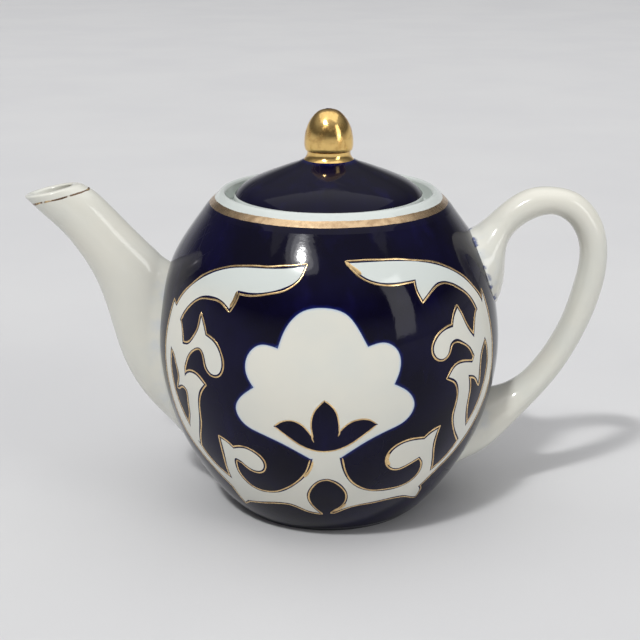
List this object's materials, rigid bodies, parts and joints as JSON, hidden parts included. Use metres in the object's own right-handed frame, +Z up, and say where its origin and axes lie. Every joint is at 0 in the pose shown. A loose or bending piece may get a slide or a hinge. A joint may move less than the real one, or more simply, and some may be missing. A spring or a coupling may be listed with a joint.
{
  "type": "porcelain teapot",
  "caption": "Egg-shaped porcelain teapot with a raised collar, lift-off domed lid, upswept spout, loop handle, cobalt glaze, white reserved cotton-boll ornament and gilding.",
  "frame": {"origin": "centre of the standing ring, on the surface that the pot stands on", "axes": "+Z up the pot's axis, +X from the spout towards the handle, front of the ornament towards -Y"},
  "size_m": [0.219, 0.13, 0.1526],
  "materials": {
    "cobalt_glaze": "gloss",
    "white_glaze": "gloss",
    "gilding": "polished",
    "bare_porcelain": "matte"
  },
  "bodies": {
    "pot": {"pot_body": "cobalt_glaze", "strainer": "white_glaze", "foot_ring": "bare_porcelain", "rim_collar": "white_glaze", "spout": "white_glaze", "handle": "white_glaze"},
    "lid": {"lid_dome": "cobalt_glaze", "lid_flange": "white_glaze", "lid_knob": "gilding"}
  },
  "joints": [
    {"name": "lid_lift", "type": "slide", "parent": "pot", "child": "lid", "axis": [0, 0, 1], "range_m": [0, 0.07]}
  ]
}
